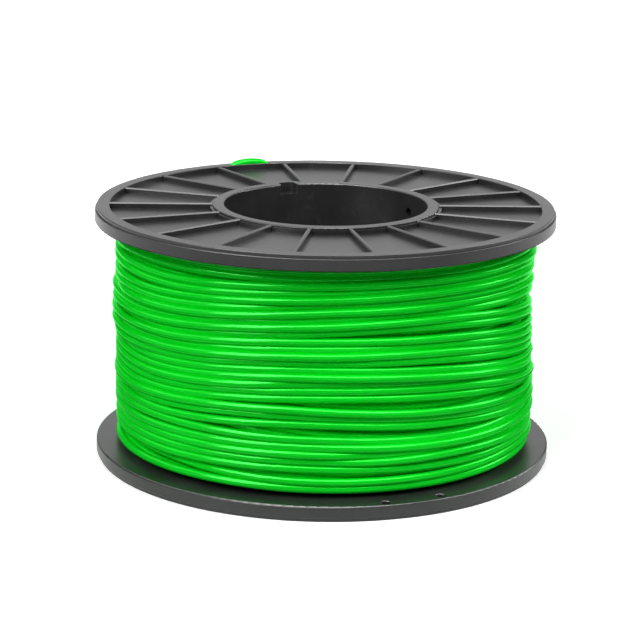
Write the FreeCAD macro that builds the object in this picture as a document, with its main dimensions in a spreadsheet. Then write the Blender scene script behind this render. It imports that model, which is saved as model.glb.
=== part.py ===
# Wire spool: two ribbed flanges on a barrel, wound full of single-core insulated wire.
# Millimetres. The origin is the centre of the foot of the spool, and +Z is the spool's axis.
import FreeCAD, Part
import math
import os
import Sketcher
from FreeCAD import Placement, Rotation, Vector

FULL_TURN = 360.0
UP = Vector(0, 0, 1)
LEFT, RIGHT = 1, -1
FLARE_SHARE = 0.8


# The driving sizes, each a plain number in a cell of the sheet under its own name.
DRIVING_SIZES = {
    # Spool
    "overall_height": 89.0,
    "flange_radius": 80.0,
    "bore_radius": 35.4,
    # Flanges: two mouldings that differ only in their wire holes
    "rim_thickness": 5.4,
    "web_thickness": 3.3,
    "rim_width": 5.0,
    "rim_step_width": 0.6,
    "rim_step_height": 1.2,
    "rim_edge_rounding": 0.5,
    "small_edge_rounding": 0.3,
    "hub_ring_width": 4.9,
    "hub_step_width": 0.95,
    "hub_step_height": 0.8,
    "rib_count": 18,
    "rib_width": 1.5,
    "rib_drop": 0.15,
    "rib_edge_rounding": 0.35,
    "rib_root": 0.8,
    # Notch in each hub ring, and how far round from +X it lies
    "upper_notch_bearing": 112.3,
    "lower_notch_bearing": -66.5,
    "notch_width": 5.8,
    "notch_reach": 4.3,
    "notch_corner_rounding": 1.8,
    "notch_mouth_rounding": 1.4,
    "notch_wall": 2.0,
    "notch_wall_rounding": 1.5,
    # Holes for the wire's end, and the upper flange's arched channel between them
    "hole_inset": 3.0,
    "hole_clearance": 0.15,
    "upper_hole_spacing": 14.8,
    "lower_hole_spacing": 19.9,
    "hole_mouth_rounding": 0.5,
    "loop_height": 0.5,
    "loop_bend_radius": 3.2,
    "loop_arch_radius": 20.0,
    "tail_length": 7.0,
    # Barrel
    "barrel_wall": 2.5,
    "socket_depth": 1.8,
    "fit_clearance": 0.1,
    "barrel_hole_radius": 1.6,
    "barrel_hole_bearing": 33.5,
    # Wire
    "strand_diameter": 2.9,
    "conductor_diameter": 1.38,
    "conductor_clearance": 0.03,
    "winding_inset": 6.6,
    "winding_end_gap": 0.1,
    "layer_clearance": 0.15,
    "turn_gap": 0.48,
    "turn_side_gap": 0.35,
    "most_turns": 22,
    "run_bend_radius": 4.0,
}

document = FreeCAD.newDocument("wire_spool")
sheet = document.addObject("Spreadsheet::Sheet", "Sizes")
for row, (name, number) in enumerate(DRIVING_SIZES.items(), start=1):
    sheet.set("A%d" % row, name)
    sheet.set("B%d" % row, str(number))
    sheet.setAlias("B%d" % row, name)
document.recompute()


class Size:
    """A length that knows its number and the formula on the sheet that gives it."""

    def __init__(self, number, formula):
        self.number = number
        self.formula = formula

    def combine(self, other, sign, result):
        right = other.formula if isinstance(other, Size) else repr(other)
        return Size(result, "(%s %s %s)" % (self.formula, sign, right))

    def __add__(self, other):
        return self.combine(other, "+", self.number + number_of(other))

    def __sub__(self, other):
        return self.combine(other, "-", self.number - number_of(other))

    def __mul__(self, other):
        return self.combine(other, "*", self.number * number_of(other))

    def __truediv__(self, other):
        return self.combine(other, "/", self.number / number_of(other))

    def __neg__(self):
        return Size(-self.number, "(0 - %s)" % self.formula)


def number_of(value):
    return value.number if isinstance(value, Size) else value


def size(name):
    return Size(float(sheet.get(name)), "Sizes.%s" % name)


def driven(owner, path, value):
    """Bind a property or a sketch constraint to the sheet."""
    owner.setExpression(path, value.formula)


# Sizes that follow from the driving ones
nothing = Size(0.0, "0")
overall_height = size("overall_height")
flange_radius = size("flange_radius")
bore_radius = size("bore_radius")
rim_inner_radius = flange_radius - size("rim_width")
hub_ring_radius = bore_radius + size("hub_ring_width")
barrel_outer_radius = bore_radius + size("barrel_wall")
socket_radius = barrel_outer_radius + size("fit_clearance")
socket_depth = size("socket_depth")
strand_diameter = size("strand_diameter")
strand_radius = strand_diameter / 2
hole_radius = strand_radius + size("hole_clearance")
hole_line = flange_radius - size("hole_inset")
winding_radius = flange_radius - size("winding_inset")
rim_thickness = size("rim_thickness")
lower_face = rim_thickness
upper_face = overall_height - rim_thickness
upper_notch_bearing = size("upper_notch_bearing").number
lower_notch_bearing = size("lower_notch_bearing").number


def origin_plane(body, role):
    return [plane for plane in body.Origin.OriginFeatures if plane.Role == role][0]


def new_body(label):
    body = document.addObject("PartDesign::Body", label)
    body.Label = label
    return body


def new_sketch(body, name, plane, offset=None, turn=None):
    """A sketch on one of the body's own planes, moved out by offset and turned about its local Y."""
    sketch = body.newObject("Sketcher::SketchObject", name)
    sketch.AttachmentSupport = [(origin_plane(body, plane), "")]
    sketch.MapMode = "FlatFace"
    if turn is not None:
        sketch.AttachmentOffset = Placement(Vector(), Rotation(Vector(0, 1, 0), turn.number))
        driven(sketch, ".AttachmentOffset.Rotation.Angle", turn)
    if offset is not None:
        driven(sketch, ".AttachmentOffset.Base.z", offset)
    return sketch


def pin_point(sketch, piece, end, across, along):
    """Hold one end of a line or arc at driven coordinates."""
    for kind, value in (("DistanceX", across), ("DistanceY", along)):
        spot = sketch.addConstraint(Sketcher.Constraint(kind, -1, 1, piece, end, value.number))
        driven(sketch, "Constraints[%d]" % spot, value)


def arc_of(start, end, radius, turn):
    """The short arc from start to end that turns left (1) or right (-1)."""
    chord = end - start
    rise = math.sqrt(radius ** 2 - (chord.Length / 2) ** 2)
    left = Vector(-chord.y, chord.x, 0).normalize()
    centre = (start + end) / 2 + left * rise * turn
    first, last = (start, end) if turn > 0 else (end, start)
    angles = [math.atan2(point.y - centre.y, point.x - centre.x) for point in (first, last)]
    return Part.ArcOfCircle(Part.Circle(centre, UP, radius), *angles)


def draw_path(sketch, corners, closed=True):
    """Lines through driven corners. A corner with a radius and a turn starts an arc instead."""
    points = [Vector(corner[0].number, corner[1].number, 0) for corner in corners]
    pieces = len(corners) if closed else len(corners) - 1
    ends = []
    for here in range(pieces):
        start, end = points[here], points[(here + 1) % len(points)]
        if len(corners[here]) == 2:
            sketch.addGeometry(Part.LineSegment(start, end), False)
            ends.append((1, 2))
            continue
        radius, turn = corners[here][2:]
        sketch.addGeometry(arc_of(start, end, radius.number, turn), False)
        ends.append((1, 2) if turn > 0 else (2, 1))
    for here in range(pieces):
        pin_point(sketch, here, ends[here][0], *corners[here][:2])
        after = (here + 1) % len(corners)
        if after < pieces:
            sketch.addConstraint(
                Sketcher.Constraint("Coincident", here, ends[here][1], after, ends[after][0]))
        else:
            pin_point(sketch, here, ends[here][1], *corners[after][:2])
        if len(corners[here]) > 2:
            bound = sketch.addConstraint(
                Sketcher.Constraint("Radius", here, corners[here][2].number))
            driven(sketch, "Constraints[%d]" % bound, corners[here][2])


def draw_circle(sketch, across, along, radius):
    """A circle with driven centre and radius."""
    centre = Vector(across.number, along.number, 0)
    here = sketch.addGeometry(Part.Circle(centre, UP, radius.number), False)
    pin_point(sketch, here, 3, across, along)
    bound = sketch.addConstraint(Sketcher.Constraint("Radius", here, radius.number))
    driven(sketch, "Constraints[%d]" % bound, radius)


def pad(body, sketch, length, towards_normal=True):
    feature = body.newObject("PartDesign::Pad", sketch.Name + "_pad")
    feature.Profile = sketch
    driven(feature, "Length", length)
    feature.Reversed = not towards_normal
    document.recompute()
    return feature


def pocket(body, sketch, length, towards_normal):
    """A cut of a driven depth, which has to remove something."""
    before = body.Shape.Volume
    feature = body.newObject("PartDesign::Pocket", sketch.Name + "_pocket")
    feature.Profile = sketch
    driven(feature, "Length", length)
    feature.Reversed = towards_normal
    document.recompute()
    if not body.Shape.Volume < before:
        raise RuntimeError("%s cuts nothing" % sketch.Name)
    return feature


def circle_edges(shape, radius, height, centre=None):
    """Names of the round edges of one radius at one height, about one centre."""
    names = []
    for number, edge in enumerate(shape.Edges, start=1):
        curve = edge.Curve
        if not isinstance(curve, Part.Circle):
            continue
        middle = centre or Vector(0, 0, height)
        near = (curve.Center - Vector(middle.x, middle.y, height)).Length < 0.01
        if near and abs(curve.Radius - radius) < 0.01:
            names.append("Edge%d" % number)
    return names


def round_edges(body, name, rounding, wanted):
    """Fillet the round edges listed as (radius, height, centre)."""
    base = body.Tip
    names = []
    for radius, height, centre in wanted:
        found = circle_edges(base.Shape, radius.number, height.number, centre)
        if not found:
            raise RuntimeError("%s: no edge of radius %.2f" % (name, radius.number))
        names += found
    feature = body.newObject("PartDesign::Fillet", name)
    feature.Base = (base, names)
    driven(feature, "Radius", rounding)
    document.recompute()
    return feature


# Flanges
#
# Each flange is drawn with its winding side at height 0 and its outward side up, and its notch
# towards +X. Its ribs then stand half a rib spacing to either side of the notch.

def turned_disc(body, thickness):
    """The rim, the thin web, the hub ring and the barrel's socket, as one turned profile."""
    web = size("web_thickness")
    rim_step = flange_radius - size("rim_step_width")
    rim_ledge = thickness - size("rim_step_height")
    hub_step = hub_ring_radius - size("hub_step_width")
    hub_ledge = thickness - size("hub_step_height")
    profile = new_sketch(body, body.Label + "_profile", "XZ_Plane")
    draw_path(profile, [
        (socket_radius, nothing),
        (flange_radius, nothing),
        (flange_radius, rim_ledge),
        (rim_step, rim_ledge),
        (rim_step, thickness),
        (rim_inner_radius, thickness),
        (rim_inner_radius, web),
        (hub_ring_radius, web),
        (hub_ring_radius, hub_ledge),
        (hub_step, hub_ledge),
        (hub_step, thickness),
        (bore_radius, thickness),
        (bore_radius, socket_depth),
        (socket_radius, socket_depth),
    ])
    disc = body.newObject("PartDesign::Revolution", body.Label + "_disc")
    disc.Profile = profile
    disc.ReferenceAxis = (profile, ["V_Axis"])
    disc.Angle = FULL_TURN
    document.recompute()
    round_edges(body, body.Label + "_large_rounds", size("rim_edge_rounding"), [
        (flange_radius, nothing, None),
        (bore_radius, thickness, None),
    ])
    round_edges(body, body.Label + "_small_rounds", size("small_edge_rounding"), [
        (flange_radius, rim_ledge, None),
        (rim_step, thickness, None),
        (rim_inner_radius, thickness, None),
        (hub_step, thickness, None),
    ])


def radial_ribs(body, thickness):
    """Ribs with rounded tops from the hub ring to the rim, the first half a spacing round."""
    half_width = size("rib_width") / 2
    rounding = size("rib_edge_rounding")
    foot = size("web_thickness") - size("rib_root")
    top = thickness - size("rib_drop")
    start = hub_ring_radius - size("rib_root")
    half_spacing = Size(FULL_TURN / 2, "180") / size("rib_count")
    section = new_sketch(body, body.Label + "_rib", "YZ_Plane", turn=half_spacing)
    driven(section, ".AttachmentOffset.Base.x", start * math_sine(half_spacing))
    driven(section, ".AttachmentOffset.Base.z", start * math_cosine(half_spacing))
    corners = [
        (-half_width, foot),
        (half_width, foot),
        (half_width, top - rounding),
        (half_width - rounding, top),
        (rounding - half_width, top),
        (-half_width, top - rounding),
    ]
    draw_path(section, corners)
    rib = pad(body, section, rim_inner_radius + size("rib_root") - start)
    ribs = body.newObject("PartDesign::PolarPattern", body.Label + "_ribs")
    ribs.Originals = [rib]
    ribs.Axis = (origin_axis(body, "Z_Axis"), [""])
    ribs.Angle = FULL_TURN
    driven(ribs, "Occurrences", size("rib_count"))
    body.Tip = ribs
    document.recompute()


def math_sine(angle):
    return Size(math.sin(math.radians(angle.number)), "sin(%s * 1deg)" % angle.formula)


def math_cosine(angle):
    return Size(math.cos(math.radians(angle.number)), "cos(%s * 1deg)" % angle.formula)


def origin_axis(body, role):
    return [axis for axis in body.Origin.OriginFeatures if axis.Role == role][0]


def hub_notch(body, thickness):
    """The notch in the hub ring and the wall that thickens the ring round it."""
    web = size("web_thickness")
    rounding = size("notch_wall_rounding")
    half_notch = size("notch_width") / 2
    half_wall = half_notch + size("notch_wall")
    notch_end = bore_radius + size("notch_reach")
    wall_end = notch_end + size("notch_wall")
    wall_foot = web - size("rib_root")
    wall_start = bore_radius + size("hub_ring_width") / 2

    wall = new_sketch(body, body.Label + "_notch_wall", "XY_Plane", offset=wall_foot)
    draw_path(wall, [
        (wall_start, -half_wall),
        (wall_end - rounding, -half_wall),
        (wall_end, rounding - half_wall),
        (wall_end, half_wall - rounding),
        (wall_end - rounding, half_wall),
        (wall_start, half_wall),
    ])
    pad(body, wall, thickness - size("rib_drop") - wall_foot)

    # The sides flare into the bore round a centre a little inside the bore's wall.
    corner = size("notch_corner_rounding")
    flare = size("notch_mouth_rounding")
    flare_distance = bore_radius + flare * FLARE_SHARE
    flare_side = half_notch + flare
    flare_centre = other_side(flare_distance, flare_side)
    inwards = (flare_distance - flare) / flare_distance
    mouth = (flare_centre * inwards, flare_side * inwards)
    notch = new_sketch(body, body.Label + "_notch", "XY_Plane", offset=socket_depth)
    draw_path(notch, [
        (nothing, -mouth[1]),
        (mouth[0], -mouth[1], flare, RIGHT),
        (flare_centre, -half_notch),
        (notch_end - corner, -half_notch, corner, LEFT),
        (notch_end, corner - half_notch),
        (notch_end, half_notch - corner, corner, LEFT),
        (notch_end - corner, half_notch),
        (flare_centre, half_notch, flare, RIGHT),
        (mouth[0], mouth[1]),
        (nothing, mouth[1]),
    ])
    pocket(body, notch, thickness, towards_normal=True)


def other_side(longest, side):
    """The third side of a right-angled triangle."""
    formula = "sqrt(%s ^ 2 - %s ^ 2)" % (longest.formula, side.formula)
    return Size(math.sqrt(longest.number ** 2 - side.number ** 2), formula)


def loop_plane(hole_spacing):
    """How far from the axis the upright plane through both wire holes stands."""
    return other_side(hole_line, hole_spacing / 2)


def loop_shape(half, crest):
    """Where the wire's upright legs end, and where its end bends meet its arch."""
    bend = size("loop_bend_radius")
    arch = size("loop_arch_radius")
    drop = other_side(arch - bend, half - bend)
    leg_top = crest - arch + drop
    share = arch / (arch - bend)
    return leg_top, (half - bend) * share, crest - arch + drop * share


def straight_holes(body, thickness, hole_spacing):
    """Two upright holes through the rim."""
    holes = new_sketch(body, body.Label + "_wire_holes", "XY_Plane")
    for side in (-1, 1):
        draw_circle(holes, loop_plane(hole_spacing), hole_spacing / 2 * side, hole_radius)
    pocket(body, holes, thickness, towards_normal=True)


def arched_holes(body, thickness, hole_spacing):
    """Two upright holes through the rim, joined over its top by an arched channel."""
    half = hole_spacing / 2
    foot = -strand_radius
    outward = loop_plane(hole_spacing)
    leg_top, join_across, join_up = loop_shape(half, thickness + size("loop_height"))
    bend = size("loop_bend_radius")
    route = new_sketch(body, body.Label + "_wire_route", "YZ_Plane", offset=outward)
    draw_path(route, [
        (-half, foot),
        (-half, leg_top, bend, RIGHT),
        (-join_across, join_up, size("loop_arch_radius"), RIGHT),
        (join_across, join_up, bend, RIGHT),
        (half, leg_top),
        (half, foot),
    ], closed=False)
    section = new_sketch(body, body.Label + "_wire_section", "XY_Plane", offset=foot)
    draw_circle(section, outward, -half, hole_radius)
    before = body.Shape.Volume
    holes = body.newObject("PartDesign::SubtractivePipe", body.Label + "_wire_holes")
    holes.Profile = section
    holes.Spine = route
    holes.Mode = "Standard"
    holes.Transition = "Transformed"
    document.recompute()
    if not body.Shape.Volume < before:
        raise RuntimeError("The wire holes cut nothing")


def round_mouths(body, hole_spacing):
    """Round the holes' mouths on the winding side, where the wire bends into them."""
    outward = loop_plane(hole_spacing).number
    half = hole_spacing.number / 2
    mouths = [(hole_radius, nothing, Vector(outward, side * half, 0)) for side in (-1, 1)]
    round_edges(body, body.Label + "_mouths", size("hole_mouth_rounding"), mouths)


def make_flange(label, hole_spacing, cut_holes):
    body = new_body(label)
    turned_disc(body, rim_thickness)
    radial_ribs(body, rim_thickness)
    hub_notch(body, rim_thickness)
    cut_holes(body, rim_thickness, hole_spacing)
    round_mouths(body, hole_spacing)
    return body


upper_flange = make_flange("upper_flange", size("upper_hole_spacing"), arched_holes)
upper_flange.Placement = Placement(Vector(), Rotation(UP, upper_notch_bearing))
driven(upper_flange, ".Placement.Base.z", upper_face)

lower_flange = make_flange("lower_flange", size("lower_hole_spacing"), straight_holes)
face_down = Rotation(UP, lower_notch_bearing) * Rotation(Vector(1, 0, 0), FULL_TURN / 2)
lower_flange.Placement = Placement(Vector(), face_down)
driven(lower_flange, ".Placement.Base.z", lower_face)


# Barrel
#
# A tube between the two sockets. The wire's inner end went through the small hole, which lies
# half a strand under the upper flange, where the first turn began.

def make_barrel():
    body = new_body("barrel")
    length = upper_face - lower_face + socket_depth * 2
    ring = new_sketch(body, "barrel_section", "XY_Plane")
    draw_circle(ring, nothing, nothing, barrel_outer_radius)
    draw_circle(ring, nothing, nothing, bore_radius)
    pad(body, ring, length)
    hole = new_sketch(body, "barrel_hole", "YZ_Plane")
    draw_circle(hole, nothing, length - socket_depth - strand_radius, size("barrel_hole_radius"))
    pocket(body, hole, barrel_outer_radius + socket_depth, towards_normal=True)
    body.Placement = Placement(Vector(), Rotation(UP, size("barrel_hole_bearing").number))
    driven(body, ".Placement.Base.z", lower_face - socket_depth)
    return body


barrel = make_barrel()


# Wire
#
# The strand's line is a chain of straight lines and of pairs of arcs that meet in one tangent.

def arc_between(start, corner, end):
    """The arc that leaves start and reaches end along the two equal legs of their corner."""
    chord_middle = (start + end) / 2
    half_chord = (end - start).Length / 2
    leg = (corner - start).Length
    rise = corner - chord_middle
    half_turn = math.acos(min(1.0, half_chord / leg))
    radius = half_chord / math.sin(half_turn)
    sagitta = radius * (1 - math.cos(half_turn))
    return Part.Arc(start, chord_middle + rise.normalize() * sagitta, end), radius


def arc_pair(start, leaving, end, arriving):
    """Two arcs from start to end with the given directions there."""
    span = end - start
    bend = leaving + arriving
    spread = 2 * (1 - leaving.dot(arriving))
    reach = span.dot(bend)
    if spread < 1e-9:
        leg = span.dot(span) / (4 * span.dot(arriving))
    else:
        leg = (math.sqrt(reach * reach + spread * span.dot(span)) - reach) / spread
    first_corner = start + leaving * leg
    last_corner = end - arriving * leg
    joint = (first_corner + last_corner) / 2
    return [arc_between(start, first_corner, joint), arc_between(joint, last_corner, end)]


def polar_point(radius, bearing, height):
    angle = math.radians(bearing)
    return Vector(radius * math.cos(angle), radius * math.sin(angle), height)


def outward_at(bearing):
    return polar_point(1, bearing, 0)


def round_at(bearing, climb=0.0):
    """The direction of travel round the spool, climbing by a slope."""
    direction = polar_point(1, bearing + FULL_TURN / 4, climb)
    return direction.normalize()


strand = strand_radius.number
wire_diameter = strand_diameter.number
run_bend = size("run_bend_radius").number
winding_line = winding_radius.number - strand
side_gap = size("turn_side_gap").number
clear_width = upper_face.number - lower_face.number
wanted_pitch = wire_diameter + size("turn_gap").number
turn_room = clear_width - wire_diameter - 2 * side_gap
turn_count = min(int(turn_room / wanted_pitch), int(size("most_turns").number))
turn_pitch = turn_room / turn_count
climb = turn_pitch / (2 * math.pi * winding_line)

# The strand leaves the last turn, moves out past the winding and turns up into the first hole.
half_spacing = size("upper_hole_spacing").number / 2
first_hole = Vector(loop_plane(size("upper_hole_spacing")).number, -half_spacing, 0)
hole_bearing = upper_notch_bearing + math.degrees(math.atan2(first_hole.y, first_hole.x))
DROP_ARC = 40.0
bend_arc_degrees = math.degrees(run_bend / hole_line.number)
lifted_bearing = hole_bearing - bend_arc_degrees - DROP_ARC
last_turn_bearing = lifted_bearing - DROP_ARC
start_bearing = last_turn_bearing - FULL_TURN * turn_count
start_height = lower_face.number + side_gap + strand
core_radius = winding_line - strand - size("layer_clearance").number

ARCS_IN_TURN = 4
pocket_floor = winding_line - run_bend - wire_diameter


def turn_point(bearing):
    """A point on the outer layer's turns."""
    height = start_height + turn_pitch * (bearing - start_bearing) / FULL_TURN
    return polar_point(winding_line, bearing, height)


def winding_stations():
    """Points on the strand's line with its direction at each; a straight run needs no arcs."""
    outward = outward_at(start_bearing)
    start = polar_point(pocket_floor, start_bearing, start_height)
    stations = [(start, outward), (start + outward * wire_diameter, outward)]
    first_bearing = start_bearing + math.degrees(run_bend / winding_line)
    steps = turn_count * ARCS_IN_TURN // 2
    for step in range(steps + 1):
        bearing = first_bearing + (last_turn_bearing - first_bearing) * step / steps
        stations.append((turn_point(bearing), round_at(bearing, climb)))
    lifted = polar_point(hole_line.number, lifted_bearing, turn_point(last_turn_bearing).z)
    stations.append((lifted, round_at(lifted_bearing)))
    hole = polar_point(hole_line.number, hole_bearing, upper_face.number)
    travel = round_at(hole_bearing)
    before_hole = hole - UP * wire_diameter
    stations.append((before_hole - UP * run_bend - travel * run_bend, travel))
    stations.append((before_hole, UP))
    stations.append((hole, UP))
    return stations


def line_through(stations):
    """One wire through the stations, with the tightest radius on it."""
    edges = []
    tightest = math.inf
    for (start, leaving), (end, arriving) in zip(stations, stations[1:]):
        straight = (end - start).normalize()
        if straight.dot(leaving) > 1 - 1e-9 and straight.dot(arriving) > 1 - 1e-9:
            edges.append(Part.LineSegment(start, end).toShape())
            continue
        for arc, radius in arc_pair(start, leaving, end, arriving):
            edges.append(arc.toShape())
            tightest = min(tightest, radius)
    return Part.Wire(edges), tightest


def tube_along(line, start, direction, radius):
    section = Part.Wire([Part.Circle(start, direction, radius).toShape()])
    return line.makePipeShell([section], True, False)


def least_gap(line, diameter, spacing=2.5, apart=4.0):
    """The least clear distance between stretches of the line that lie well apart along it."""
    points = line.discretize(Distance=spacing)
    skip = int(apart * diameter / spacing)
    cell = 2 * diameter
    near = {}
    for number, point in enumerate(points):
        key = (int(point.x // cell), int(point.y // cell), int(point.z // cell))
        near.setdefault(key, []).append(number)
    least = math.inf
    for number, point in enumerate(points[:-1]):
        run = points[number + 1] - point
        key = (int(point.x // cell), int(point.y // cell), int(point.z // cell))
        for shift in range(27):
            beside = (key[0] + shift % 3 - 1, key[1] + shift // 3 % 3 - 1, key[2] + shift // 9 - 1)
            for other in near.get(beside, []):
                if other - number < skip:
                    continue
                along = max(0.0, min(1.0, (points[other] - point).dot(run) / run.dot(run)))
                least = min(least, (points[other] - point - run * along).Length)
    return least - diameter


def make_feature(label, shape):
    feature = document.addObject("Part::Feature", label)
    feature.Label = label
    feature.Shape = shape
    return feature


outer_line, tightest_radius = line_through(winding_stations())
first_station = winding_stations()[0]
outer_tube = tube_along(outer_line, first_station[0], first_station[1], strand)
winding_outer_layer = make_feature("winding_outer_layer", outer_tube)
print("outer layer: %d turns at a pitch of %.3f, tightest radius %.2f, length %.0f"
      % (turn_count, turn_pitch, tightest_radius, outer_line.Length))
print("outer layer: least gap to itself %.3f" % least_gap(outer_line, wire_diameter))
print("outer layer: volume over section times length %.4f"
      % (outer_tube.Volume / (math.pi * strand ** 2 * outer_line.Length)))


# The inner layers fill the space under the outer one. The strand rises out of them through a
# pocket at the start of the outer layer.

def make_inner_layers():
    core = document.addObject("Part::Cylinder", "inner_layers_outside")
    driven(core, "Radius", winding_radius - strand_diameter - size("layer_clearance"))
    hollow = document.addObject("Part::Cylinder", "inner_layers_inside")
    driven(hollow, "Radius", barrel_outer_radius + size("fit_clearance"))
    end_gap = size("winding_end_gap")
    driven(core, "Height", upper_face - lower_face - end_gap * 2)
    driven(core, ".Placement.Base.z", lower_face + end_gap)
    driven(hollow, "Height", upper_face - lower_face)
    driven(hollow, ".Placement.Base.z", lower_face)
    gap = size("turn_side_gap").number
    space = document.addObject("Part::Box", "strand_pocket")
    space.Length = run_bend + wire_diameter + strand
    space.Width = 2 * (strand + run_bend)
    space.Height = 2 * (strand + gap)
    corner = polar_point(pocket_floor, start_bearing, start_height - strand - gap)
    corner -= round_at(start_bearing) * (strand + gap)
    space.Placement = Placement(corner, Rotation(UP, start_bearing % FULL_TURN))
    tube = document.addObject("Part::Cut", "inner_layers_tube")
    tube.Base = core
    tube.Tool = hollow
    layers = document.addObject("Part::Cut", "winding_inner_layers")
    layers.Label = "winding_inner_layers"
    layers.Base = tube
    layers.Tool = space
    return layers


winding_inner_layers = make_inner_layers()


# The wire's end: up through the first hole, over the rim and down through the second.

def loop_stations(spacing, height):
    """The end's line in the upper flange's own frame, from the winding side of its rim."""
    outward = loop_plane(spacing).number
    half = spacing.number / 2
    crest = height + size("loop_height")
    leg_top, join_across, join_up = [value.number for value in loop_shape(spacing / 2, crest)]
    rise = math.asin(join_across / size("loop_arch_radius").number)

    def spot(along, high):
        return Vector(outward, along, high)

    def heading(climb):
        return Vector(0, math.cos(climb), math.sin(climb))

    return [
        (spot(-half, 0), UP),
        (spot(-half, leg_top), UP),
        (spot(-join_across, join_up), heading(rise)),
        (spot(join_across, join_up), heading(-rise)),
        (spot(half, leg_top), -UP),
        (spot(half, -size("tail_length").number), -UP),
    ]


def make_wire_end():
    stations = loop_stations(size("upper_hole_spacing"), rim_thickness)
    line = line_through(stations)[0]
    start, direction = stations[0]
    conductor_radius = size("conductor_diameter").number / 2
    inside = conductor_radius + size("conductor_clearance").number
    jacket = tube_along(line, start, direction, strand)
    jacket = jacket.cut(tube_along(line, start, direction, inside))
    conductor = tube_along(line, start, direction, conductor_radius)
    place = Placement(Vector(0, 0, upper_face.number), Rotation(UP, upper_notch_bearing))
    loop = make_feature("wire_end_loop", jacket)
    loop.Placement = place
    core = make_feature("wire_end_conductor", conductor)
    core.Placement = place
    print("wire end: length %.1f" % line.Length)
    return loop, core


wire_end_loop, wire_end_conductor = make_wire_end()

document.recompute()


# Check every object, then write each piece to its own file.
PIECES = [
    upper_flange,
    lower_flange,
    barrel,
    winding_inner_layers,
    winding_outer_layer,
    wire_end_loop,
    wire_end_conductor,
]

for thing in document.Objects:
    if "Invalid" in thing.State or "Error" in thing.State:
        raise RuntimeError("%s failed: %s" % (thing.Label, thing.State))
for piece in PIECES:
    shape = piece.Shape
    if shape.isNull() or not shape.isValid() or len(shape.Solids) != 1:
        raise RuntimeError("%s is not one valid solid" % piece.Label)

os.makedirs("parts", exist_ok=True)
for piece in PIECES:
    piece.Shape.exportStep(os.path.join("parts", piece.Label + ".step"))
    box = piece.Shape.BoundBox
    print("%s: volume %.0f, z %.2f to %.2f" % (piece.Label, piece.Shape.Volume, box.ZMin, box.ZMax))
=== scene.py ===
# %% [markdown]
# # A spool of green wire
#
# The spool is two ribbed black flanges on a barrel, wound full of glossy green wire. The flanges
# and the barrel come from the packed model, so this file only gives them a finish. The wire is
# built here, strand by strand, because no two turns on a real spool lie the same way.
#
# The first cell loads the packed model, moves each piece's place into its mesh, and drops the
# empties.

# %% Load the packed model
import math

import bpy
import numpy as np
from mathutils import Matrix, Vector


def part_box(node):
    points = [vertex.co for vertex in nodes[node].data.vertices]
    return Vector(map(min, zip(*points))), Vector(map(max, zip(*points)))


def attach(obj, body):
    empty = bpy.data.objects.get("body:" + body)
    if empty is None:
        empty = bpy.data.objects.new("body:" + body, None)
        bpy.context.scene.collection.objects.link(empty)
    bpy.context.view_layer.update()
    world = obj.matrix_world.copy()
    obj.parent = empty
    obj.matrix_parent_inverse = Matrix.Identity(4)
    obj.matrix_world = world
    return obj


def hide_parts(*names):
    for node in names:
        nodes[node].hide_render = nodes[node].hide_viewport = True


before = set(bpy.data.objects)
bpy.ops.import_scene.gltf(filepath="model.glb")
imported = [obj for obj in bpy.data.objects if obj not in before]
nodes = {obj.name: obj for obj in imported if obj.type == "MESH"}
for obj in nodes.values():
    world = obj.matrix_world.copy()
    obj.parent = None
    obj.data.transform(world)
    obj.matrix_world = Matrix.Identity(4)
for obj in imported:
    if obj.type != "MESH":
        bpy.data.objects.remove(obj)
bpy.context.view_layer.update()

scene = bpy.context.scene

# %% [markdown]
# ## The camera
#
# The photograph was taken with a long lens from a little above the spool. A long lens keeps the
# two flanges nearly the same width. The camera is aimed at the spool's middle and then turned by
# three small angles, because a real camera never points quite level.

# %% Place the camera
SPOOL_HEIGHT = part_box("upper_flange")[1].z
IMAGE_WIDTH = 640
FOCAL_PIXELS = 2370.8
SENSOR_WIDTH = 36.0
CAMERA_DISTANCE = 0.83586
CAMERA_ELEVATION = math.radians(14.891)
CAMERA_PITCH = math.radians(0.172)
CAMERA_YAW = math.radians(0.0926)
CAMERA_ROLL = math.radians(-0.9843)
NEAREST_SEEN = 0.05
FARTHEST_SEEN = 50.0


def turned(vector, axis, angle):
    return Matrix.Rotation(angle, 3, axis) @ vector


def make_camera():
    forward = Vector((0, math.cos(CAMERA_ELEVATION), -math.sin(CAMERA_ELEVATION)))
    right = Vector((1, 0, 0))
    upward = right.cross(forward)
    position = Vector((0, 0, SPOOL_HEIGHT / 2)) - forward * CAMERA_DISTANCE
    forward, upward = turned(forward, right, CAMERA_PITCH), turned(upward, right, CAMERA_PITCH)
    forward, right = turned(forward, upward, CAMERA_YAW), turned(right, upward, CAMERA_YAW)
    right, upward = turned(right, forward, CAMERA_ROLL), turned(upward, forward, CAMERA_ROLL)
    bpy.ops.object.camera_add()
    camera = bpy.context.object
    camera.name = "camera"
    axes = Matrix((right, upward, -forward)).transposed()
    camera.matrix_world = Matrix.Translation(position) @ axes.to_4x4()
    camera.data.sensor_width = SENSOR_WIDTH
    camera.data.lens = FOCAL_PIXELS / IMAGE_WIDTH * SENSOR_WIDTH
    camera.data.clip_start = NEAREST_SEEN
    camera.data.clip_end = FARTHEST_SEEN
    scene.camera = camera
    return camera


camera = make_camera()
print("lens, mm:", round(camera.data.lens, 1))

# %% [markdown]
# ## The shader helpers
#
# A finish is a graph of nodes. Writing the graph link by link is hard to read, so a small class
# wraps an output and turns `mask * 0.5 + 0.2` into Math nodes.

# %% An output that can be added, multiplied and compared


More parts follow.
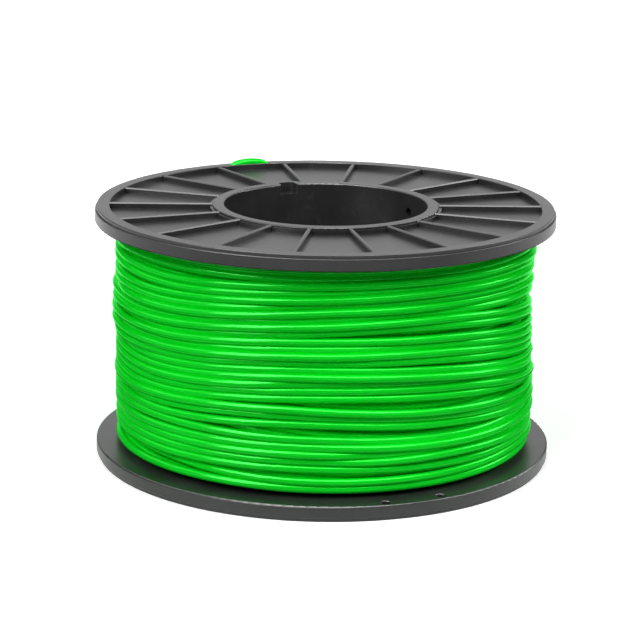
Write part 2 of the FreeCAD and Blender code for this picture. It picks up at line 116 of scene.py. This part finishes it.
class Output:
    """One output of a node, with sums written as Python."""

    def __init__(self, graph, socket):
        self.graph = graph
        self.socket = socket

    def sum(self, operation, first, second):
        return self.graph.add("ShaderNodeMath", {"operation": operation}, {0: first, 1: second})

    def __add__(self, other):
        return self.sum("ADD", self, other)

    def __radd__(self, other):
        return self.sum("ADD", other, self)

    def __sub__(self, other):
        return self.sum("SUBTRACT", self, other)

    def __rsub__(self, other):
        return self.sum("SUBTRACT", other, self)

    def __mul__(self, other):
        return self.sum("MULTIPLY", self, other)

    def __rmul__(self, other):
        return self.sum("MULTIPLY", other, self)

    def __pow__(self, other):
        return self.sum("POWER", self, other)

    def most(self, other):
        """The greater of two numbers."""
        return self.sum("MAXIMUM", self, other)

    def between(self, low, high):
        """0 below low, 1 above high, and smooth from one to the other."""
        return self.graph.add("ShaderNodeMapRange", {"interpolation_type": "SMOOTHSTEP"},
                              {"Value": self, "From Min": low, "From Max": high})


print("an output can:", [name for name, member in vars(Output).items() if callable(member)])

# %% [markdown]
# A second class holds the graph. Its `add` makes any node from the node's type, its settings and
# what goes into its inputs, and the other methods name the few nodes that every finish uses.

# %% A graph of nodes


class Graph:
    """The nodes of a finish or of the world."""

    def __init__(self, owner):
        owner.use_nodes = True
        self.owner = owner
        self.nodes = owner.node_tree.nodes
        self.links = owner.node_tree.links

    def add(self, kind, settings, values, output=0):
        """Add a node, set it up, fill its inputs and return one of its outputs."""
        node = self.nodes.new(kind)
        for name, value in settings.items():
            setattr(node, name, value)
        self.fill(node, values)
        return Output(self, node.outputs[output])

    def fill(self, node, values):
        for name, value in values.items():
            if isinstance(value, Output):
                self.links.new(value.socket, node.inputs[name])
            else:
                node.inputs[name].default_value = value

    def place(self, scale=(1.0, 1.0, 1.0)):
        """Object coordinates, stretched."""
        source = self.add("ShaderNodeTexCoord", {}, {}, output="Object")
        return self.add("ShaderNodeMapping", {}, {"Vector": source, "Scale": scale})

    def part(self, vector, axis):
        """One coordinate of a vector."""
        return self.add("ShaderNodeSeparateXYZ", {}, {0: vector}, output=axis)

    def noise(self, where, scale, detail=2.0, roughness=0.5):
        return self.add("ShaderNodeTexNoise", {}, {"Vector": where, "Scale": scale,
                                                   "Detail": detail, "Roughness": roughness})

    def mixed(self, share, first, second):
        """A colour between two colours."""
        return self.add("ShaderNodeMix", {"data_type": "RGBA"}, {0: share, 6: first, 7: second},
                        output=2)

    def bumped(self, height, distance):
        return self.add("ShaderNodeBump", {}, {"Height": height, "Distance": distance})


def finish(name, values_of):
    """A material whose shader takes the values that a function works out from the graph."""
    graph = Graph(bpy.data.materials.new(name))
    graph.fill(graph.nodes["Principled BSDF"], values_of(graph))
    return graph.owner


def cover(thing, material):
    """Give a thing one material all over."""
    thing.data.materials.clear()
    thing.data.materials.append(material)


print("a graph can:", [name for name, member in vars(Graph).items() if callable(member)])

# %% [markdown]
# ## The black plastic
#
# Flanges like these are moulded from black polystyrene. The surface is satin, with faint rings
# from the turned mould, a fine grain, light scuffs on what touches a table, and a little dust on
# what faces up. A single flat black would look like a cut-out, because what the eye reads on a
# black object is almost only the reflection, so most of the work goes into roughness and bump.

# %% Make the black plastic
BLACK = (0.014, 0.014, 0.0145, 1.0)
WORN_BLACK = (0.022, 0.022, 0.023, 1.0)
DUST = (0.30, 0.29, 0.27, 1.0)
MOTTLE_SCALE = 60.0
CLOUD_SCALE = 14.0
GRAIN_SCALE = 2600.0
RING_SCALE = 5200.0
SPECK_SCALE = 900.0
SCRATCH_SCALE = 240.0
SCRATCH_STRETCH = (1.0, 9.0, 1.0)
SATIN = 0.29
PLASTIC_RELIEF = 0.00002


def plastic_dust(graph, where, cloud):
    """Specks, in drifts, on what faces up."""
    normal = graph.add("ShaderNodeNewGeometry", {}, {}, output="Normal")
    upward = graph.part(normal, "Z").between(0.7, 1.0)
    specks = graph.noise(where, SPECK_SCALE, 3.0, 0.7).between(0.66, 0.74)
    return upward * specks * cloud.between(0.4, 0.7) * 0.5


def plastic_values(graph):
    where = graph.place()
    mottle = graph.noise(where, MOTTLE_SCALE, 4.0)
    cloud = graph.noise(where, CLOUD_SCALE, 3.0, 0.6)
    grain = graph.noise(where, GRAIN_SCALE)
    across, along = graph.part(where, "X"), graph.part(where, "Y")
    radius = (across * across + along * along) ** 0.5
    rings = graph.add("ShaderNodeMath", {"operation": "SINE"}, {0: radius * RING_SCALE})
    dust = plastic_dust(graph, where, cloud)
    scratches = graph.noise(graph.place(SCRATCH_STRETCH), SCRATCH_SCALE, 3.0, 0.7)
    scratches = scratches.between(0.60, 0.70)
    plain = graph.mixed(mottle.between(0.35, 0.75), BLACK, WORN_BLACK)
    relief = grain * 0.25 + rings * 0.06 + cloud * 6.0 - scratches * 0.12
    return {
        "Base Color": graph.mixed(dust, plain, DUST),
        "Roughness": SATIN + mottle * 0.12 + scratches * 0.10 + dust * 0.4,
        "IOR": 1.5,
        "Specular IOR Level": 0.5,
        "Normal": graph.bumped(relief, PLASTIC_RELIEF),
    }


black_plastic = finish("black_plastic", plastic_values)
for name in ("upper_flange", "lower_flange", "barrel"):
    cover(nodes[name], black_plastic)
print("finish:", black_plastic.name, "nodes:", len(black_plastic.node_tree.nodes))

# %% [markdown]
# ## How the wire lies
#
# A winder lays the strand round the drum turn beside turn, and turns back at each flange. The
# strand is springy and the guide shakes, so it wanders: it slips into the groove between two
# turns below, rides up on a neighbour, or leaves a gap that shows the layer under it.
#
# That can't be drawn by hand, and a plain spiral looks machined. So the next cells lay the wire as
# the winder does, in three steps: where the guide leads it, what it rests on, and how it settles.
# Only the outer layers show, so three layers of one unbroken line are enough.
#
# The packed model gives the room: the strand's centre may go from just above the lower flange to
# just under the upper one, and as far out as the packed winding's outer layer.

# %% Measure the room for the wire
STRAND = 0.0029
STRAND_RADIUS = STRAND / 2
OUTER_LINE = -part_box("winding_outer_layer")[0].x - STRAND_RADIUS
END_GAP = 0.0001
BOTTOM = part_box("lower_flange")[1].z + STRAND_RADIUS + END_GAP
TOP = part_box("upper_flange")[0].z - STRAND_RADIUS - END_GAP
print("room between the flanges, mm:", round(1000 * (TOP - BOTTOM), 1))

# %% [markdown]
# A shaking hand moves smoothly, so the randomness is smooth too: a random value every few steps,
# with an eased line from one to the next. The seed is fixed, so the wire lies the same each time.

# %% Make smooth random lines
STEPS = 144
SEED = 21
SPARE_KNOTS = 4
rng = np.random.default_rng(SEED)


def wander(count, spacing, size):
    """A smooth random line through one random value every few steps."""
    knots = rng.normal(0.0, size, count // spacing + SPARE_KNOTS)
    places = np.arange(count) / spacing
    left = places.astype(int)
    part = places - left
    ease = part * part * (3 - 2 * part)
    return knots[left] * (1 - ease) + knots[left + 1] * ease


def smoothed(values, reach):
    """A running average with a bell-shaped weight."""
    half = 3 * reach
    window = np.exp(-0.5 * (np.arange(-half, half + 1) / reach) ** 2)
    padded = np.pad(values, half, mode="edge")
    return np.convolve(padded, window / window.sum(), mode="valid")


print("steps in a turn:", STEPS)

# %% [markdown]
# The guide then rises turn by turn. Where its shake is strong it leaves a gap, and the gaps are
# widest in the outer layer. The turns also lean, because this wire runs higher on one side of the
# spool than on the other, and sway a little from turn to turn, so that some of them cross.

# %% Where the guide leads the strand
TURNS_IN_LAYER = (26, 24, 29)
LEAST_SPACING = (0.95, 0.90, 0.76)
GAPS = (0.10, 0.60, 1.20)
SLOW_SHAKE = STEPS // 4
QUICK_SHAKE = STEPS // 9
QUICK_SHARE = 0.3
STEADY = 0.35
LEAN = 0.0028
LEAN_BEARING = math.radians(209)
SWAY = (0.0, 0.0004, 0.0009)
SWAY_SPACING = STEPS // 7
GUIDE_SMOOTHING = 5


def layer_line(turns, least, gaps):
    """One layer's rising line: each step is a spacing above the same place a turn before."""
    count = turns * STEPS
    shake = wander(count, SLOW_SHAKE, 1.0) + wander(count, QUICK_SHAKE, QUICK_SHARE)
    spacing = least + gaps * np.maximum(shake - STEADY, 0)
    spacing = spacing.reshape(turns, STEPS)
    first = np.linspace(0, 1, STEPS, endpoint=False)
    rise = np.cumsum(spacing, axis=0) - spacing[0] + first
    rise *= (turns - 1 + first) / rise[-1]
    return BOTTOM + (TOP - BOTTOM) * rise.ravel() / turns


def guide_line():
    """The height the guide asks for at every step: up, down and up again."""
    layers = []
    for layer, turns in enumerate(TURNS_IN_LAYER):
        line = layer_line(turns, LEAST_SPACING[layer], GAPS[layer])
        line = BOTTOM + TOP - line if layer % 2 else line
        inner = np.sin(math.pi * (line - BOTTOM) / (TOP - BOTTOM))
        bearing = 2 * math.pi * np.arange(len(line)) / STEPS + LEAN_BEARING
        sway = wander(len(line), SWAY_SPACING, SWAY[layer])
        layers.append(line + inner * (LEAN * np.cos(bearing) + sway))
    line = smoothed(np.concatenate(layers), GUIDE_SMOOTHING)
    return np.clip(line, BOTTOM, TOP)


guide = guide_line()
turn_count = len(guide) // STEPS
print("turns:", turn_count, "steps:", len(guide))

# %% [markdown]
# At each step the strand rests on the highest thing under it: the drum, or any earlier turn that
# it overlaps. It is too stiff to drop into a short hollow, so its radius is also held up by what
# it rests on a little further on, less the sag of a gentle curve.

# %% What the strand rests on
LAYER_RISE = 0.90 * STRAND
RIDE_UP = 0.0009
CORE = OUTER_LINE - (len(TURNS_IN_LAYER) - 1) * LAYER_RISE
OUTERMOST = OUTER_LINE + RIDE_UP
CONTACT = 0.89 * STRAND
OVERLAP = 0.9 * CONTACT
REACH = 20
SAG_RATE = 0.00003
SAG = SAG_RATE * np.arange(-REACH, REACH + 1) ** 2


def rest_on(heights, radii, wanted):
    """The radius at which a strand's centre rests at each wanted height."""
    if not len(heights):
        return np.full(len(wanted), CORE)
    apart = (heights - wanted) / OVERLAP
    bulge = CONTACT * np.sqrt(np.maximum(1 - apart ** 2, 0))
    return np.where(abs(apart) < 1, radii + bulge, CORE).max(axis=0)


def lay_turns(guide):
    """The radius of every step of the line, one turn after another."""
    heights = guide.reshape(turn_count, STEPS)
    radii = np.zeros_like(heights)
    for turn in range(turn_count):
        here = rest_on(heights[:turn], radii[:turn], heights[turn])
        before = radii[turn - 1][-REACH:] if turn else np.full(REACH, here[0])
        after = np.full(REACH, here[-1])
        if turn + 1 < turn_count:
            after = rest_on(heights[:turn, :REACH], radii[:turn, :REACH],
                            heights[turn + 1, :REACH])
        row = np.concatenate([before, here, after])
        shifted = [row[shift:shift + STEPS] - SAG[shift] for shift in range(2 * REACH + 1)]
        radii[turn] = np.max(shifted, axis=0)
    return radii.ravel()


laid = lay_turns(guide)
print("laid, mm from the axis:", round(1000 * laid.min(), 2), "to", round(1000 * laid.max(), 2))

# %% [markdown]
# Tension then pulls the whole line in and straightens it, while touching strands push each other
# apart. A hundred and sixty small rounds of that leave a winding in which strands press a little
# into each other, as soft insulation does, and none runs through another.

# %% Let it settle
ROUNDS = 160
SEARCH_EVERY = 20
PASSES = 2
NEAR = 1.4 * STRAND
PULL = 0.00001
GUIDE_HOLD = 0.04
STIFFNESS = 0.5
PUSH = 0.35
LEAST_GAP = STRAND / 1000


def touching(heights, radii):
    """Pairs of steps in one column that are near enough to touch."""
    heights, radii = heights.reshape(turn_count, STEPS), radii.reshape(turn_count, STEPS)
    firsts, seconds = [], []
    for apart in range(1, turn_count):
        square = (heights[apart:] - heights[:-apart]) ** 2 + (radii[apart:] - radii[:-apart]) ** 2
        turns, columns = np.nonzero(square < NEAR ** 2)
        firsts.append(turns * STEPS + columns)
        seconds.append((turns + apart) * STEPS + columns)
    return np.concatenate(firsts), np.concatenate(seconds)


def straighten(values):
    values[1:-1] += STIFFNESS * ((values[:-2] + values[2:]) / 2 - values[1:-1])


def push_apart(heights, radii, first, second):
    """Move each touching pair of steps apart, and keep every step inside its room."""
    along, out = heights[second] - heights[first], radii[second] - radii[first]
    gap = np.maximum(np.hypot(along, out), LEAST_GAP)
    push = PUSH * np.maximum(CONTACT - gap, 0) / gap
    for values, move in ((heights, along * push), (radii, out * push)):
        values += np.bincount(second, move, len(values)) - np.bincount(first, move, len(values))
    np.clip(heights, BOTTOM, TOP, out=heights)
    np.clip(radii, CORE, OUTERMOST, out=radii)


def settle(heights, radii):
    heights, radii = heights.copy(), radii.copy()
    for step in range(ROUNDS):
        if step % SEARCH_EVERY == 0:
            first, second = touching(heights, radii)
        radii -= PULL
        heights += GUIDE_HOLD * (guide - heights)
        for _ in range(PASSES):
            straighten(heights)
            straighten(radii)
        for _ in range(PASSES):
            push_apart(heights, radii, first, second)
    return heights, radii


heights, radii = settle(guide, laid)
first, second = touching(heights, radii)
gaps = np.hypot(heights[second] - heights[first], radii[second] - radii[first]) - STRAND
print("settled, mm from the axis:", round(1000 * radii.min(), 2), "to",
      round(1000 * radii.max(), 2))
print("deepest squeeze, mm:", round(-1000 * gaps.min(), 3))

# %% [markdown]
# ## The wire's end
#
# From the last turn the strand moves out past the winding, turns up through one hole in the rim,
# lies over the rim in a shallow arch and goes down through the second hole. The bends are arcs,
# because a stiff wire can't turn a corner. The sizes are those of the packed part's wire end.
#
# The first half is the run: it moves out first and rises later, both with an eased start and
# end, and a quarter turn leads it up into the hole.

# %% Lead the wire to the rim
NOTCH_BEARING = math.radians(112.3)
LOOP_PLANE = 0.076644
HALF_SPACING = 0.0074
HOLE_RADIUS = math.hypot(LOOP_PLANE, HALF_SPACING)
HOLE_BEARING = NOTCH_BEARING - math.atan2(HALF_SPACING, LOOP_PLANE)
RUN_ARC = math.radians(80)
RUN_STEPS = 64
RUN_BEND = 0.004
BEND_STEPS = 12
RUN_HEIGHT = 0.0767
OUT_BY = 0.6
RISE_FROM = 0.35
FLANGE_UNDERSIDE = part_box("upper_flange")[0].z


def eased(part):
    part = np.clip(part, 0, 1)
    return part * part * part * (10 - 15 * part + 6 * part * part)


def run_points(start_height, start_radius):
    """The strand's line from the last turn to the upper flange's underside."""
    bend_angle = RUN_BEND / HOLE_RADIUS
    share = np.linspace(0, 1, RUN_STEPS)
    angles = HOLE_BEARING - RUN_ARC + (RUN_ARC - bend_angle) * share
    out = start_radius + (HOLE_RADIUS - start_radius) * eased(share / OUT_BY)
    rise = eased((share - RISE_FROM) / (1 - RISE_FROM))
    high = start_height + (RUN_HEIGHT - start_height) * rise
    run = np.stack([out * np.cos(angles), out * np.sin(angles), high], axis=1)
    turn = np.linspace(0, math.pi / 2, BEND_STEPS)[1:]
    travel = np.array([-math.sin(HOLE_BEARING), math.cos(HOLE_BEARING), 0])
    hole = np.array([math.cos(HOLE_BEARING), math.sin(HOLE_BEARING), 0]) * HOLE_RADIUS
    bend = [hole + travel * RUN_BEND * (math.sin(angle) - 1)
            + np.array([0, 0, RUN_HEIGHT + RUN_BEND * (1 - math.cos(angle))]) for angle in turn]
    return np.concatenate([run, bend, [hole + np.array([0, 0, FLANGE_UNDERSIDE])]])


last_run = run_points(heights[-1], radii[-1])
print("run to the rim, points:", len(last_run))

# %% [markdown]
# The second half is the loop over the rim. It is drawn flat, as a leg, a small bend and half of
# the arch, and then mirrored for the other side. Its second leg is longer: it is the tail that
# hangs under the flange.

# %% Lead the wire over the rim
LEG_TOP = 0.08577
END_BEND = 0.0032
END_BEND_STEPS = 9
ARCH_RADIUS = 0.020
ARCH_STEPS = 12
CREST = 0.0895
TAIL_END = 0.0766


def loop_points():
    """The strand's line from the upper flange's underside over the rim to the tail's cut end."""
    share = ARCH_RADIUS / (ARCH_RADIUS - END_BEND)
    arch_centre = CREST - ARCH_RADIUS
    lean = math.asin((HALF_SPACING - END_BEND) * share / ARCH_RADIUS)
    half = [(-HALF_SPACING, FLANGE_UNDERSIDE), (-HALF_SPACING, LEG_TOP)]
    for angle in np.linspace(math.pi, math.pi / 2 + lean, END_BEND_STEPS)[1:]:
        half.append((END_BEND * (1 + math.cos(angle)) - HALF_SPACING,
                     LEG_TOP + END_BEND * math.sin(angle)))
    arch = [(ARCH_RADIUS * math.sin(angle), arch_centre + ARCH_RADIUS * math.cos(angle))
            for angle in np.linspace(-lean, lean, ARCH_STEPS)[1:-1]]
    other_half = [(-along, high) for along, high in half[::-1][:-1]]
    line = half + arch + other_half + [(HALF_SPACING, TAIL_END)]
    outward = np.array([math.cos(NOTCH_BEARING), math.sin(NOTCH_BEARING), 0]) * LOOP_PLANE
    along_rim = np.array([-math.sin(NOTCH_BEARING), math.cos(NOTCH_BEARING), 0])
    return np.array([outward + along_rim * along + np.array([0, 0, high])
                     for along, high in line])


loop = loop_points()
print("loop over the rim, points:", len(loop))

# %% [markdown]
# ## From a line to a strand
#
# Each line becomes a curve with a round bevel, and the curve becomes a mesh. A tube of ten sides
# with smooth shading reads as round at this size, and keeps the piece light. The tail is cut
# square, so a small drill takes the copper's place out of its end.

# %% Make the strands
BEVEL_RESOLUTION = 3
CORE_BORE = 0.00072
DRILL_LENGTH = 0.006
DRILL_SIDES = 24


def strand_mesh(name, points):
    """A smooth tube along the points."""
    curve = bpy.data.curves.new(name, "CURVE")
    curve.dimensions = "3D"
    curve.bevel_depth = STRAND_RADIUS
    curve.bevel_resolution = BEVEL_RESOLUTION
    curve.use_fill_caps = True
    spline = curve.splines.new("POLY")
    spline.points.add(len(points) - 1)
    flat = np.concatenate([points, np.ones((len(points), 1))], axis=1)
    spline.points.foreach_set("co", flat.ravel())
    spline.use_smooth = True
    strand = bpy.data.objects.new(name, curve)
    scene.collection.objects.link(strand)
    bpy.ops.object.select_all(action="DESELECT")
    strand.select_set(True)
    bpy.context.view_layer.objects.active = strand
    bpy.ops.object.convert(target="MESH")
    return bpy.context.object


def drill_tail(strand, end):
    """Cut the copper's hole into the tail's end."""
    bpy.ops.mesh.primitive_cylinder_add(vertices=DRILL_SIDES, radius=CORE_BORE,
                                        depth=DRILL_LENGTH, location=end)
    drill = bpy.context.object
    cut = strand.modifiers.new("drill", "BOOLEAN")
    cut.operation = "DIFFERENCE"
    cut.object = drill
    bpy.context.view_layer.objects.active = strand
    bpy.ops.object.modifier_apply(modifier=cut.name)
    bpy.data.objects.remove(drill)


last_bearing = HOLE_BEARING - RUN_ARC
angles = last_bearing + (np.arange(len(heights)) - len(heights) + 1) * 2 * math.pi / STEPS
wound = np.stack([radii * np.cos(angles), radii * np.sin(angles), heights], axis=1)
layer_ends = np.cumsum(TURNS_IN_LAYER) * STEPS
third_layer = strand_mesh("winding_third_layer", wound[:layer_ends[0]])
second_layer = strand_mesh("winding_second_layer", wound[layer_ends[0] - 1:layer_ends[1]])
outer_line = np.concatenate([wound[layer_ends[1] - 1:-1], last_run])
outer_turns = strand_mesh("winding_outer_turns", outer_line)
wire_end = strand_mesh("wire_end", loop)
drill_tail(wire_end, loop[-1])
strands = [third_layer, second_layer, outer_turns, wire_end]
for strand in strands:
    print(strand.name, "triangles:", sum(len(face.vertices) - 2 for face in strand.data.polygons))

# %% [markdown]
# ## The green insulation and the copper
#
# The insulation is extruded, so it is smooth and glossy along its length. The green has to stay
# strong in the grooves, where light reaches it only from the strands beside it. Plain glossy
# plastic mirrors white at its edges, which would turn them grey, and on this wire they stay green.
# So the shine is a glossy shader of its own, tinted green, and a Fresnel node lays it over the
# matt green: thin where a strand faces the eye, and full at its edges.

# %% Make the green insulation and the copper
GREEN = (0.001, 0.62, 0.014, 1.0)
DEEP_GREEN = (0.001, 0.54, 0.010, 1.0)
GREEN_SHINE = (0.13, 1.0, 0.20, 1.0)
SHINE_IOR = 1.68
GLOSS = 0.14
GREEN_CLOUD_SCALE = 30.0
FINE_SCALE = 900.0
INSULATION_RELIEF = 0.00001
COPPER = (0.83, 0.42, 0.25, 1.0)
DRAWN_SCALE = 4000.0
DRAWN_STRETCH = (1.0, 1.0, 0.1)


def make_insulation():
    """Matt green under a green shine."""
    graph = Graph(bpy.data.materials.new("green_insulation"))
    where = graph.place()
    cloud = graph.noise(where, GREEN_CLOUD_SCALE)
    fine = graph.noise(where, FINE_SCALE)
    roughness = GLOSS + fine * 0.08
    relief = graph.bumped(fine + cloud * 4.0, INSULATION_RELIEF)
    body = graph.nodes["Principled BSDF"]
    graph.fill(body, {"Base Color": graph.mixed(cloud.between(0.3, 0.7), DEEP_GREEN, GREEN),
                      "Roughness": roughness, "Specular IOR Level": 0.0, "Normal": relief})
    shine = graph.add("ShaderNodeBsdfAnisotropic", {},
                      {"Color": GREEN_SHINE, "Roughness": roughness, "Normal": relief})
    share = graph.add("ShaderNodeFresnel", {}, {"IOR": SHINE_IOR})
    both = graph.add("ShaderNodeMixShader", {},
                     {0: share, 1: Output(graph, body.outputs[0]), 2: shine})
    graph.fill(graph.nodes["Material Output"], {"Surface": both})
    return graph.owner


def copper_values(graph):
    drawn = graph.noise(graph.place(DRAWN_STRETCH), DRAWN_SCALE)
    return {"Base Color": COPPER, "Metallic": 1.0, "Roughness": 0.25 + drawn * 0.15}


green_insulation = make_insulation()
for strand in strands:
    cover(strand, green_insulation)
cover(nodes["wire_end_conductor"], finish("copper", copper_values))
print("finishes:", [material.name for material in bpy.data.materials])

# %% [markdown]
# ## The white background
#
# The photograph is a product shot on white. The world and the floor are white to whatever sees
# them directly, the camera or a mirroring surface, and much dimmer to scattered light, so that
# they don't wash the object out. The floor also glows a little when it is seen, which keeps the
# shadow round the spool faint.

# %% Make the world and the floor
WORLD_STRENGTH = 0.40
FLOOR_GLOW = 0.30
FLOOR_SIZE = 12.0
PAPER = (1.0, 1.0, 1.0, 1.0)
SHADED_PAPER = (0.25, 0.25, 0.25, 1.0)
NO_LIGHT = (0.0, 0.0, 0.0, 1.0)


def seen_directly(graph):
    """1 for a ray from the camera or from a mirroring surface, 0 for scattered light."""
    camera_ray, mirror_ray, glass_ray = [
        graph.add("ShaderNodeLightPath", {}, {}, output=ray)
        for ray in ("Is Camera Ray", "Is Glossy Ray", "Is Transmission Ray")]
    return camera_ray.most(mirror_ray.most(glass_ray))


def make_world():
    """White wherever it is seen, and an even fill on what it lights."""
    graph = Graph(bpy.data.worlds.new("studio"))
    strength = WORLD_STRENGTH + seen_directly(graph) * (1 - WORLD_STRENGTH)
    graph.fill(graph.nodes["Background"], {"Color": PAPER, "Strength": strength})
    scene.world = graph.owner


def floor_values(graph):
    seen = seen_directly(graph)
    return {"Base Color": graph.mixed(seen, SHADED_PAPER, PAPER),
            "Emission Color": graph.mixed(seen, NO_LIGHT, PAPER),
            "Emission Strength": FLOOR_GLOW, "Roughness": 0.8, "Specular IOR Level": 0.0}


def make_floor():
    bpy.ops.mesh.primitive_plane_add(size=FLOOR_SIZE)
    floor = bpy.context.object
    floor.name = "floor"
    cover(floor, finish("paper", floor_values))


make_world()
make_floor()
print("world:", scene.world.name)

# %% [markdown]
# ## The lamps
#
# The lamps do two jobs, and keeping the jobs apart makes each one easy to set. Two broad lights,
# one on each side, give the object its even level, and nothing mirrors them. Four soft boxes light
# nothing and are only mirrored: one on the left and one on the right draw the pale highlights
# down the wire, a weak one further round lifts the left edge, and a long one overhead draws the
# thin line along the top of every strand.

# %% Hang the lamps
SKY_ELEVATION = 38.0
SKY_DISTANCE = 2.0
SKY_WIDTH = math.radians(32)
BOX_DISTANCE = 1.2


def face_spool(thing, bearing, elevation, distance):
    """Turn a thing to the spool's middle. Bearing 0 is the camera's side."""
    turn, tilt = math.radians(bearing), math.radians(elevation)
    away = Vector((math.sin(turn) * math.cos(tilt), -math.cos(turn) * math.cos(tilt),
                   math.sin(tilt)))
    thing.location = Vector((0, 0, SPOOL_HEIGHT / 2)) + away * distance
    thing.rotation_mode = "QUATERNION"
    thing.rotation_quaternion = away.to_track_quat("Z", "Y")


def sky_light(name, bearing, share):
    """A broad light that nothing mirrors."""
    bpy.ops.object.light_add(type="SUN")
    lamp = bpy.context.object
    lamp.name = name
    lamp.data.energy = share * math.pi
    lamp.data.angle = SKY_WIDTH
    face_spool(lamp, bearing, SKY_ELEVATION, SKY_DISTANCE)
    lamp.visible_glossy = False


def soft_box(name, bearing, elevation, width, height, power):
    """A bright rectangle that only reflections see."""
    bpy.ops.object.light_add(type="AREA")
    lamp = bpy.context.object
    lamp.name = name
    lamp.data.shape = "RECTANGLE"
    lamp.data.size = width
    lamp.data.size_y = height
    lamp.data.energy = power
    face_spool(lamp, bearing, elevation, BOX_DISTANCE)
    lamp.visible_diffuse = False


# Bearing and share of the light.
sky_light("left_sky", -42.0, 0.70)
sky_light("right_sky", 74.0, 0.62)
# Bearing, elevation, width, height and power.
soft_box("left_box", -50.0, 38.0, 0.62, 1.1, 20.0)
soft_box("right_box", 113.0, 38.0, 0.50, 0.8, 12.0)
soft_box("side_box", -108.0, 38.0, 0.9, 0.7, 5.0)
soft_box("top_box", 0.0, 68.0, 2.6, 1.0, 75.0)

# %% [markdown]
# ## The dark cloth
#
# A glossy strand in a white room mirrors white all round and looks milky. A studio hangs dark
# cloth for that, and so does this one: a ring of cloths stands round the spool, one hangs
# overhead, and three mats lie on the table. The ring is open behind the spool, so that the flat
# faces of the flanges still mirror white. Only reflections see the cloth, so it takes no light
# away and throws no shadow.

# %% Hang the dark cloth
CLOTH = (0.10, 0.10, 0.10, 1.0)
CLOTH_DISTANCE = 1.35
MAT_HEIGHT = 0.0005
CURTAIN_BEARINGS = range(-140, 160, 20)
cloth = finish("dark_cloth", lambda graph: {"Base Color": CLOTH, "Specular IOR Level": 0.0})


def reflect_only(card):
    """Let nothing but reflections see a card."""
    cover(card, cloth)
    card.visible_camera = False
    card.visible_diffuse = False
    card.visible_shadow = False


def hung_cloth(name, bearing, elevation, width, height):
    bpy.ops.mesh.primitive_plane_add(size=1.0)
    card = bpy.context.object
    card.name = name
    card.scale = (width, height, 1.0)
    face_spool(card, bearing, elevation, CLOTH_DISTANCE)
    reflect_only(card)


def table_mat(name, left, right, near, far):
    middle = ((left + right) / 2, (near + far) / 2, MAT_HEIGHT)
    bpy.ops.mesh.primitive_plane_add(size=1.0, location=middle)
    card = bpy.context.object
    card.name = name
    card.scale = (right - left, far - near, 1.0)
    reflect_only(card)


# Left, right, near and far edge.
table_mat("front_mat", -0.27, 0.27, -0.27, -0.10)
table_mat("left_mat", -0.27, -0.10, -0.10, 0.15)
table_mat("right_mat", 0.10, 0.27, -0.10, 0.15)
# Bearing, elevation, width and height.
hung_cloth("ceiling_cloth", 180.0, 82.0, 2.2, 0.7)
for bearing in CURTAIN_BEARINGS:
    hung_cloth("curtain", bearing, 20.0, 0.56, 2.2)

scene.view_settings.view_transform = "Standard"

# %% [markdown]
# ## Join the pieces to the model
#
# Each new piece rides on the spool's one body, and the packed pieces that the strands stand in for
# are hidden.

# %% Join the strands and hide the packed ones
for strand in strands:
    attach(strand, "root")
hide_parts("winding_outer_layer")
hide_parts("winding_inner_layers")
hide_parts("wire_end_loop")
